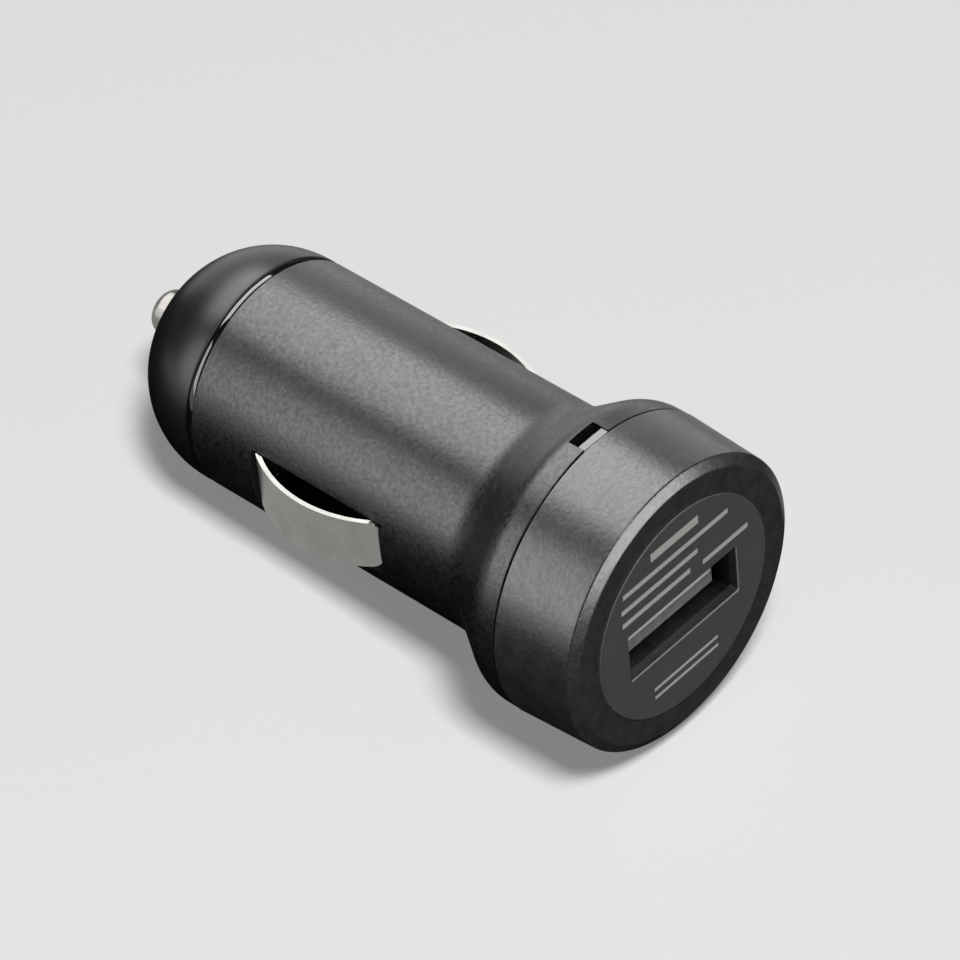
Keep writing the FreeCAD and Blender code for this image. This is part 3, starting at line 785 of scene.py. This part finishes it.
@dataclass
class HeadCap:
    """Tapered cup with a chamfered rim, the port opening and the label on its face."""

    face_radius: float = 12.19 * MM
    rim_radius: float = 13.07 * MM
    rear_radius: float = 13.45 * MM
    length: float = 7.78 * MM
    chamfer: float = 0.55 * MM
    face_wall: float = 1.6 * MM
    inner_radius: float = 12.0 * MM
    port_width: float = 12.84 * MM
    port_height: float = 4.8 * MM
    port_z: float = -0.75 * MM
    port_corner: float = 0.25 * MM
    port_lip: float = 0.8 * MM
    seat_width: float = 13.3 * MM
    seat_height: float = 5.92 * MM
    label_radius: float = 9.84 * MM
    label_thick: float = 0.15 * MM
    edge: float = 0.1 * MM
    port_break: float = 0.12 * MM
    finish: MouldedPlastic = MouldedPlastic("cap_black_plastic", (0.026, 0.0275, 0.0288), 0.33,
                                            0.38 * MM, 0.014 * MM, 0.57, 0.26)
    film: PrintedFilm = PrintedFilm(
        "label_film", (0.043, 0.047, 0.0512), (0.42, 0.41, 0.38), (0.22, 0.225, 0.225),
        (-0.055 * MM, 0.06 * MM), 0.5, 0.3,
        ((-0.5, 7.9, 5.6, 0.85), (-0.5, 6.2, 12.4, 0.5), (-2.5, 4.7, 9.0, 0.5), (-3.0, 3.3, 8.0, 0.5),
         (5.2, 3.0, 5.4, 0.5), (-0.2, -6.1, 7.6, 0.32), (-0.2, -7.0, 7.6, 0.32)))

    def port_cutter(self, width: float, height: float, low: float, high: float, flare: float = 0.0
                    ) -> bpy.types.Object:
        """Cutter along Y with the port's rounded outline.

        Args:
            width: Size along X.
            height: Size along Z.
            low: Start along Y.
            high: End along Y.
            flare: How much wider the cutter is at its low end.

        Returns:
            The cutting object.
        """
        outline = rounded_rectangle(width, height, self.port_corner)

        def place(a: float, b: float, along: float) -> Vector:
            """Widen the outline at the low end."""
            grow = flare if along == low else 0.0
            return Vector((a * (1 + 2 * grow / width), along, self.port_z + b * (1 + 2 * grow / height)))

        return object_from("cutter", prism(outline, low, high, place))

    def build(self) -> None:
        """Make and dress the cap and its label."""
        profile = [
            (0.0, 0.0),
            (self.face_radius, 0.0),
            (self.rim_radius, self.chamfer),
            (self.rear_radius, self.length),
            (self.inner_radius, self.length),
            (self.inner_radius, self.face_wall),
            (0.0, self.face_wall),
        ]
        cap = object_from("head_cap_skin", lathe(rounded(profile, self.edge)))
        beyond = 2 * BEYOND
        port = (self.port_width, self.port_height)
        carve(cap, [
            self.port_cutter(*port, -beyond, beyond + self.face_wall),
            self.port_cutter(self.seat_width, self.seat_height, self.port_lip, beyond + self.face_wall),
        ])
        smooth(cap)
        Piece(cap, Body.HOUSING, "cap_plastic", ("head_cap",), Receiver.DULL_PLASTIC).fit(self.finish.build())
        thick = self.label_thick
        disc = [(0.0, -thick), (self.label_radius, -thick), (self.label_radius, 0.0), (0.0, 0.0)]
        label = object_from("label_disc", lathe(rounded(disc, thick / 3)))
        carve(label, [
            self.port_cutter(*port, -beyond, beyond),
            self.port_cutter(*port, -thick, thick, self.port_break),
        ])
        smooth(label)
        Piece(label, Body.HOUSING, "label_film", ("label",), Receiver.OTHER_PIECES).fit(self.film.build())


@dataclass
class Nose:
    """Domed nose cap, the polished ring in its groove and the tip contact."""

    radius: float = 10.3 * MM
    start: float = 44.54 * MM
    end: float = 53.42 * MM
    straight: float = 0.48 * MM
    dome_radius: float = 9.2 * MM
    edge_round: float = 0.12 * MM
    spigot_radius: float = 8.6 * MM
    spigot_start: float = 39.32 * MM
    hollow_radius: float = 6.9 * MM
    guide_radius: float = 3.35 * MM
    hole_radius: float = 2.3 * MM
    seat: float = 50.32 * MM
    ring_start: float = 43.92 * MM
    ring_sunk: float = 0.07 * MM
    ring_crown: float = 0.05 * MM
    ring_gap: float = 0.1 * MM
    tip_radius: float = 2.05 * MM
    tip_end: float = 57.22 * MM
    tip_round: float = 1.0 * MM
    flange_radius: float = 3.1 * MM
    flange_back: float = 49.07 * MM
    flange_front: float = 50.27 * MM
    stub_radius: float = 1.5 * MM
    stub_back: float = 47.07 * MM
    edge: float = 0.1 * MM
    plastic: MouldedPlastic = MouldedPlastic("satin_black_plastic", (0.008, 0.0082, 0.0086), 0.34,
                                             0.25 * MM, 0.004 * MM, 0.27, 0.1)
    gloss: MouldedPlastic = MouldedPlastic("polished_black_plastic", (0.006, 0.006, 0.006), 0.07,
                                           0.5 * MM, 0.0005 * MM, 0.57)
    nickel: PlatedMetal = PlatedMetal("nickel_plate", (0.62, 0.605, 0.565), 0.3)

    def cap_profile(self) -> list[Point]:
        """Closed section of the nose cap."""
        dome_start = self.start + self.straight
        dome_centre = (self.radius - self.dome_radius, dome_start)
        top = math.degrees(math.asin((self.end - dome_start) / self.dome_radius))
        edge_centre = (self.radius - self.edge_round, self.start + self.edge_round)
        outline = [(self.hole_radius, self.end)]
        outline += arc(dome_centre, self.dome_radius, top, 0, steps=48)
        outline += arc(edge_centre, self.edge_round, 0, -90, steps=5)
        outline += [
            (self.spigot_radius, self.start),
            (self.spigot_radius, self.spigot_start),
            (self.hollow_radius, self.spigot_start),
            (self.hollow_radius, self.start),
            (self.guide_radius, self.start + self.hollow_radius - self.guide_radius),
            (self.guide_radius, self.seat),
            (self.hole_radius, self.seat),
        ]
        return outline

    def ring_profile(self) -> list[Point]:
        """Closed section of the ring, crowned outside."""
        half = (self.start - self.ring_start) / 2
        crown = self.radius - self.ring_sunk
        inner = self.spigot_radius + self.ring_gap
        steps = 10
        outline = [(inner, self.start), (inner, self.ring_start)]
        for k in range(steps + 1):
            across = -1 + 2 * k / steps
            outline.append((crown - self.ring_crown * across ** 2, self.ring_start + half * (1 + across)))
        return outline

    def tip_profile(self) -> list[Point]:
        """Closed section of the tip contact."""
        outline = [
            (0.0, self.stub_back),
            (self.stub_radius, self.stub_back),
            (self.stub_radius, self.flange_back),
            (self.flange_radius, self.flange_back),
            (self.flange_radius, self.flange_front),
            (self.tip_radius, self.flange_front),
        ]
        centre = (self.tip_radius - self.tip_round, self.tip_end - self.tip_round)
        outline += arc(centre, self.tip_round, 0, 90, steps=12)
        return outline + [(0.0, self.tip_end)]

    def build(self) -> None:
        """Make and dress the nose cap, ring and tip."""
        cap = object_from("nose_cap_skin", lathe(rounded(self.cap_profile(), self.edge)))
        smooth(cap)
        Piece(cap, Body.HOUSING, "nose_plastic", ("nose_cap",), Receiver.DULL_PLASTIC).fit(self.plastic.build())
        ring = object_from("nose_ring_skin", lathe(self.ring_profile()))
        smooth(ring)
        gloss = self.gloss.build()
        Piece(ring, Body.HOUSING, "ring_plastic", ("nose_ring",), Receiver.BLACK_PLASTIC).fit(gloss)
        tip = object_from("tip_contact_skin", lathe(rounded(self.tip_profile(), self.edge)))
        smooth(tip)
        tip.visible_diffuse = False
        Piece(tip, Body.TIP, "nickel_tip", ("tip_contact",), Receiver.OTHER_PIECES).fit(self.nickel.build())


@dataclass
class SideContact:
    """Bowed nickel leaf in one of the barrel's slots."""

    side: Side
    apex: float = 12.0 * MM
    bow_radius: float = 12.0 * MM
    thick: float = 0.4 * MM
    bend: float = 0.9 * MM
    half_length: float = 6.9 * MM
    half_height: float = 2.77 * MM
    middle: float = 30.0 * MM
    arm_inner: float = 6.9 * MM
    ear: float = 0.5 * MM
    ear_length: float = 0.8 * MM
    foot_z: float = -3.51 * MM
    corner: float = 1.0 * MM
    taper: float = 0.7 * MM
    edge: float = 0.09 * MM

    def strip_side(self, bow: float, bend: float, end: float) -> list[Point]:
        """One side of the strip seen edge-on, from the middle of the bow to the arm's inner end.

        Args:
            bow: Radius of the bow on this side.
            bend: Radius of the bend on this side.
            end: Half length of the strip on this side.

        Returns:
            (x, y) points about the strip's middle.
        """
        centre_x = self.apex - self.bow_radius
        angle = math.asin((end - bend) / (bow - bend))
        bend_centre = (centre_x + (bow - bend) * math.cos(angle), end - bend)
        points = arc((centre_x, 0.0), bow, 0, math.degrees(angle), steps=28)
        points += arc(bend_centre, bend, math.degrees(angle), 90, steps=10)[1:]
        return points + [(self.arm_inner, end)]

    def outline(self) -> list[Point]:
        """Closed outline of the strip seen edge-on."""
        outer = self.strip_side(self.bow_radius, self.bend, self.half_length)
        thick = self.thick
        inner = self.strip_side(self.bow_radius - thick, self.bend - thick, self.half_length - thick)
        upper = outer[1:] + list(reversed(inner[1:]))
        lower = [(x, -y) for x, y in reversed(upper)]
        return [outer[0]] + upper + [inner[0]] + lower

    def build(self, material: bpy.types.Material) -> None:
        """Make and dress the leaf.

        Args:
            material: The nickel finish.
        """
        sign = self.side.value

        def stand(a: float, b: float, height: float) -> Vector:
            """Place the strip on its side of the barrel."""
            return Vector((sign * a, self.middle + b, height))

        name = "side_contact_" + self.side.name.lower()
        leaf = object_from(name + "_strip", prism(self.outline(), -self.half_height, self.half_height, stand))
        carve(leaf, self.corner_cutters())
        carve(leaf, self.ears(), Join.ONTO)
        soften(leaf, self.edge)
        leaf.visible_diffuse = False
        leaf.visible_shadow = False
        body = Body.LEFT_LEAF if self.side is Side.LEFT else Body.RIGHT_LEAF
        Piece(leaf, body, "nickel_strip", (name,), Receiver.OTHER_PIECES).fit(material)

    def ears(self) -> list[bpy.types.Object]:
        """Ears at the arms' inner ends, which hold the leaf behind its slot; one reaches to the board."""
        reach = sorted(self.side.value * x for x in (self.arm_inner, self.arm_inner + self.ear_length))
        high = self.half_height + self.ear
        shapes = []
        for end, low in ((-1, self.foot_z), (1, -high)):
            face = self.middle + end * self.half_length
            across = sorted((face, face - end * self.thick))
            shapes.append(box_cutter((reach[0], across[0], low), (reach[1], across[1], high)))
        return shapes

    def corner_cutters(self) -> list[bpy.types.Object]:
        """Cutters that round the strip's two corners at its head end and taper its lower edge towards it."""
        sign = self.side.value
        head = self.middle - self.half_length
        cutters = []
        for up, rise in ((-1, self.taper), (1, 0.0)):
            centre = (head + self.corner, up * (self.half_height - rise - self.corner))
            start = 180 if up < 0 else 90
            curve = arc(centre, self.corner, start, start + 90, steps=10)
            beyond = self.corner
            tip = (head - beyond, up * (self.half_height + beyond))
            if up > 0:
                outline = curve + [(head - beyond, centre[1]), tip, (centre[0], tip[1])]
            else:
                root = (self.middle, -self.half_height)
                outline = curve + [root, (root[0], tip[1]), tip, (head - beyond, centre[1])]
            shape = prism(outline, 0.0, sign * 2 * self.apex, lambda a, b, h: Vector((h, a, b)))
            cutters.append(object_from("cutter", shape))
        return cutters


@dataclass
class PortTongue:
    """Grey plastic tongue of the port, chamfered at its front, on the block that fills the shell's back."""

    width: float = 11.1 * MM
    low: float = -2.56 * MM
    high: float = -0.72 * MM
    front: float = 1.57 * MM
    chamfer: float = 0.35 * MM
    block_start: float = 11.65 * MM
    block_end: float = 13.65 * MM
    block_width: float = 12.4 * MM
    block_low: float = -3.26 * MM
    block_high: float = 1.76 * MM
    edge: float = 0.05 * MM
    finish: MouldedPlastic = MouldedPlastic("grey_tongue_plastic", (0.31, 0.32, 0.32), 0.34,
                                            0.2 * MM, 0.003 * MM, 0.7)

    def build(self) -> None:
        """Make and dress the tongue."""
        tongue = bmesh.new()
        rings = []
        stations = (
            (self.front, self.chamfer),
            (self.front + self.chamfer, 0.0),
            (self.block_start + BEYOND, 0.0),
        )
        for y, inset in stations:
            half = self.width / 2 - inset
            low = self.low + inset
            high = self.high - inset
            ring = [(-half, y, low), (half, y, low), (half, y, high), (-half, y, high)]
            rings.append([tongue.verts.new(point) for point in ring])
        for here, there in zip(rings, rings[1:]):
            for k in range(4):
                tongue.faces.new((here[k], here[(k + 1) % 4], there[(k + 1) % 4], there[k]))
        tongue.faces.new(rings[0])
        tongue.faces.new(rings[-1])
        obj = object_from("usb_tongue_bar", tongue)
        half = self.block_width / 2
        block = box_cutter((-half, self.block_start, self.block_low), (half, self.block_end, self.block_high))
        carve(obj, [block], Join.ONTO)
        soften(obj, self.edge)
        material = self.finish.build()
        Piece(obj, Body.HOUSING, "tongue_plastic", ("usb_tongue",), Receiver.OTHER_PIECES).fit(material)


@dataclass(frozen=True)
class NodeFinish:
    """A finish for carried-over pieces, by node."""

    finish: MouldedPlastic | PlatedMetal | ClearPlastic
    nodes: tuple[str, ...]


@dataclass
class Inside:
    """Port, light pipe and electronics, which keep their own shapes."""

    finishes: tuple[NodeFinish, ...] = (
        NodeFinish(ClearPlastic("milky_clear_plastic", (0.76, 0.76, 0.745), 0.45, 0.1, 0.3), ("light_pipe",)),
        NodeFinish(ClearPlastic("lamp_epoxy", (0.30, 0.55, 0.32), 0.2, 0.5), ("indicator_led",)),
        # The port's steel shell is coloured near-black as painted shade for the dark inside of the port; bare
        # steel is far lighter.
        NodeFinish(PlatedMetal("port_steel", (0.085, 0.082, 0.076), 0.4), ("usb_shell",)),
        NodeFinish(PlatedMetal("gold_plate", (0.83, 0.60, 0.24), 0.22), ("usb_contacts",)),
        NodeFinish(PlatedMetal("drawn_steel_wire", (0.5, 0.5, 0.49), 0.3), ("tip_spring",)),
        NodeFinish(PlatedMetal("stamped_brass", (0.62, 0.46, 0.2), 0.28), ("spring_terminal",)),
        NodeFinish(MouldedPlastic("green_board_laminate", (0.012, 0.03, 0.02), 0.4, 0.35 * MM, 0.006 * MM),
                   ("circuit_board",)),
        NodeFinish(PlatedMetal("can_aluminium", (0.55, 0.56, 0.57), 0.35),
                   ("output_capacitor", "input_capacitor")),
        NodeFinish(MouldedPlastic("sintered_ferrite", (0.03, 0.03, 0.033), 0.6, 0.2 * MM, 0.02 * MM),
                   ("inductor_core",)),
        NodeFinish(PlatedMetal("enamelled_copper", (0.50, 0.20, 0.08), 0.35,
                               0.3 * MM, 0.03 * MM, (0.05, 0.05, 1.0)), ("inductor_winding",)),
        NodeFinish(MouldedPlastic("moulding_resin", (0.02, 0.02, 0.021), 0.5, 0.15 * MM, 0.006 * MM),
                   ("regulator_chip", "rectifier_diode", "chip_resistors")),
        NodeFinish(MouldedPlastic("white_ceramic", (0.62, 0.60, 0.55), 0.35, 0.3 * MM, 0.004 * MM), ("fuse",)),
        NodeFinish(MouldedPlastic("tan_ceramic", (0.32, 0.21, 0.11), 0.45, 0.2 * MM, 0.004 * MM),
                   ("chip_capacitors",)),
    )
    spring_seat: float = 39.4 * MM
    spring_end: float = 49.07 * MM
    tip_travel: float = 3.0 * MM

    def dress(self) -> None:
        """Give each carried-over node its finish, and give the tip's spring a mesh of its own."""
        for group in self.finishes:
            material = group.finish.build()
            for node in group.nodes:
                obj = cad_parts[node]
                if not obj.material_slots:
                    obj.data.materials.append(material)
                for entry in obj.material_slots:
                    entry.material = material
                Receiver.OTHER_PIECES.group().objects.link(obj)
                LOG.info("node %s takes %s", node, material.name)
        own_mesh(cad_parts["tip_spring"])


@dataclass(frozen=True)
class SoftBox:
    """Flat lamp that looks at the plug."""

    name: str
    place: tuple[float, float, float]
    along: tuple[float, float, float]
    length: float
    width: float
    glow: float
    falls_on: Receiver = Receiver.EVERYTHING

    def hang(self, aim: Vector) -> None:
        """Make the lamp.

        Args:
            aim: Point that the lamp looks at.
        """
        lamp = bpy.data.lights.new(self.name, "AREA")
        lamp.shape = "RECTANGLE"
        lamp.size = self.length
        lamp.size_y = self.width
        lamp.energy = math.pi * self.length * self.width * self.glow
        obj = link(bpy.data.objects.new(self.name, lamp))
        long_axis = Vector(self.along).normalized()
        back = Vector(self.place) - aim
        back = (back - long_axis * back.dot(long_axis)).normalized()
        pose = Matrix((long_axis, back.cross(long_axis), back)).transposed().to_4x4()
        pose.translation = Vector(self.place)
        obj.matrix_world = pose
        obj.visible_camera = False
        if self.falls_on is not Receiver.EVERYTHING:
            obj.visible_diffuse = False
            obj.light_linking.receiver_collection = self.falls_on.group()


@dataclass
class Studio:
    """Softly glowing paper floor, the lamps and the camera.

    A key from above falls on everything. Gloss boxes and low cards fall on the black plastic only, and
    fill boxes on the other pieces only.
    """

    floor_size: float = 3.0
    floor_low: Point = (7.78 * MM, -13.46 * MM)
    floor_high: Point = (45.0 * MM, -10.31 * MM)
    floor_colour: Colour = (0.8, 0.8, 0.8)
    floor_glow: float = 0.2
    floor_grain: float = 0.4 * MM
    floor_tone: float = 0.99
    floor_roughness: float = 0.9
    surround: float = 0.04
    card_size: float = 0.6
    card_rise: float = 0.3 * MM
    card_glow: float = 0.32
    aim: tuple[float, float, float] = (1.35 * MM, 22.8 * MM, -0.7 * MM)
    azimuth: float = -43.546
    elevation: float = 43.592
    roll: float = 6.096
    distance: float = 476.94 * MM
    lens: float = 222.02
    sensor: float = 36.0
    clip: Point = (0.01, 10.0)
    boxes: tuple[SoftBox, ...] = (
        SoftBox("key_box", (-0.24, -0.52, 1.2), (1, 0, 0), 0.3, 0.3, 46.7),
        SoftBox("top_box", (0.29, 0.72, 1.0), (1, 0.1, 0), 1.28, 0.7, 9.5, Receiver.BLACK_PLASTIC),
        SoftBox("left_box", (-1.0, 0.74, 0.525), (0, 0.27, 1), 1.24, 0.66, 6.6, Receiver.BLACK_PLASTIC),
        SoftBox("front_box", (0.1, -1.0, 0.2), (1, 0.25, 0), 1.3, 0.58, 10.5, Receiver.BLACK_PLASTIC),
        SoftBox("right_card", (0.048, 0.068, 0.02), (-0.6, 0.8, 0), 0.13, 0.066, 1.2, Receiver.DULL_PLASTIC),
        SoftBox("right_low", (0.025, 0.045, -0.004), (0, 1, 0), 0.09, 0.014, 0.45, Receiver.DULL_PLASTIC),
        SoftBox("left_low", (-0.06, 0.055, -0.002), (0.54, 0.84, 0), 0.12, 0.014, 1.2, Receiver.BLACK_PLASTIC),
        SoftBox("top_fill", (0.245, 0.72, 1.0), (1, 0.1, 0), 2.0, 1.2, 1.3, Receiver.OTHER_PIECES),
        SoftBox("left_fill", (-1.0, 0.74, 0.525), (0, 0.27, 1), 1.5, 1.4, 0.8, Receiver.OTHER_PIECES),
        SoftBox("front_fill", (0.5, -0.9, 0.65), (1, 0.5, 0), 1.2, 0.9, 5.0, Receiver.OTHER_PIECES),
    )

    def sheet(self, name: str, size: float, rise: float) -> bpy.types.Object:
        """Square sheet on the slope that touches the head and the nose, as the plug lies.

        Args:
            name: Name of the sheet.
            size: Length of its sides.
            rise: Height above the slope.

        Returns:
            The sheet.
        """
        slope = (self.floor_high[1] - self.floor_low[1]) / (self.floor_high[0] - self.floor_low[0])
        drop = self.floor_low[1] - slope * self.floor_low[0] + rise
        half = size / 2
        outline = [(-half, -half), (half, -half), (half, half), (-half, half)]
        solid = bmesh.new()
        solid.faces.new([solid.verts.new((x, y, drop + slope * y)) for x, y in outline])
        obj = object_from(name, solid)
        return obj

    def floor(self) -> None:
        """Pale paper floor, and a grey card over it that only the other pieces' reflections show."""
        tree = NodeTree("floor_paper")
        paper = tree.noise(self.floor_grain)
        dark = shaded(self.floor_colour, self.floor_tone)
        tree.join(tree.tint(paper, dark, self.floor_colour), tree.shader, "Base Color")
        tree.put("Roughness", self.floor_roughness)
        tree.put("Specular IOR Level", 0.0)
        tree.put("Emission Color", WHITE)
        tree.put("Emission Strength", self.floor_glow)
        self.sheet("floor", self.floor_size, 0.0).data.materials.append(tree.material)
        grey = NodeTree("grey_card")
        grey.put("Base Color", BLACK)
        grey.put("Specular IOR Level", 0.0)
        grey.put("Emission Color", WHITE)
        grey.put("Emission Strength", self.card_glow)
        card = self.sheet("grey_card", self.card_size, self.card_rise)
        card.data.materials.append(grey.material)
        card.visible_camera = False
        card.visible_diffuse = False
        card.visible_shadow = False
        card.light_linking.receiver_collection = Receiver.OTHER_PIECES.group()

    def lights(self) -> None:
        """Hang the soft boxes and set the surround."""
        for box in self.boxes:
            box.hang(Vector(self.aim))
        world = bpy.data.worlds.new("surround")
        world.use_nodes = True
        back = world.node_tree.nodes["Background"]
        back.inputs["Color"].default_value = WHITE
        back.inputs["Strength"].default_value = self.surround
        bpy.context.scene.world = world

    def camera(self) -> None:
        """Set the camera at the photograph's viewing angle."""
        turn = math.radians(self.azimuth)
        lift = math.radians(self.elevation)
        forward = Vector((-math.sin(turn) * math.cos(lift), math.cos(turn) * math.cos(lift), -math.sin(lift)))
        level = forward.cross(Vector((0, 0, 1))).normalized()
        upward = level.cross(forward)
        lean = math.radians(self.roll)
        top = upward * math.cos(lean) + level * math.sin(lean)
        right = forward.cross(top)
        pose = Matrix((right, top, -forward)).transposed().to_4x4()
        pose.translation = Vector(self.aim) - forward * self.distance
        data = bpy.data.cameras.new("camera")
        data.lens = self.lens
        data.sensor_width = self.sensor
        data.clip_start, data.clip_end = self.clip
        obj = link(bpy.data.objects.new("camera", data))
        obj.matrix_world = pose
        bpy.context.scene.camera = obj

    def build(self) -> None:
        """Set up the whole studio."""
        self.floor()
        self.lights()
        self.camera()
        bpy.context.scene.view_settings.view_transform = "Standard"


def main() -> None:
    """Build the charger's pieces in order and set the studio."""
    logging.basicConfig(level=logging.INFO, format="%(name)s: %(message)s")
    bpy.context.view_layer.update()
    Barrel().build()
    HeadCap().build()
    Nose().build()
    strip = PlatedMetal("nickel_strip", (0.7, 0.688, 0.65), 0.26, depth=0.0015 * MM).build()
    for side in Side:
        SideContact(side).build(strip)
    PortTongue().build()
    Inside().dress()
    Studio().build()


if __name__ == "__main__":
    main()
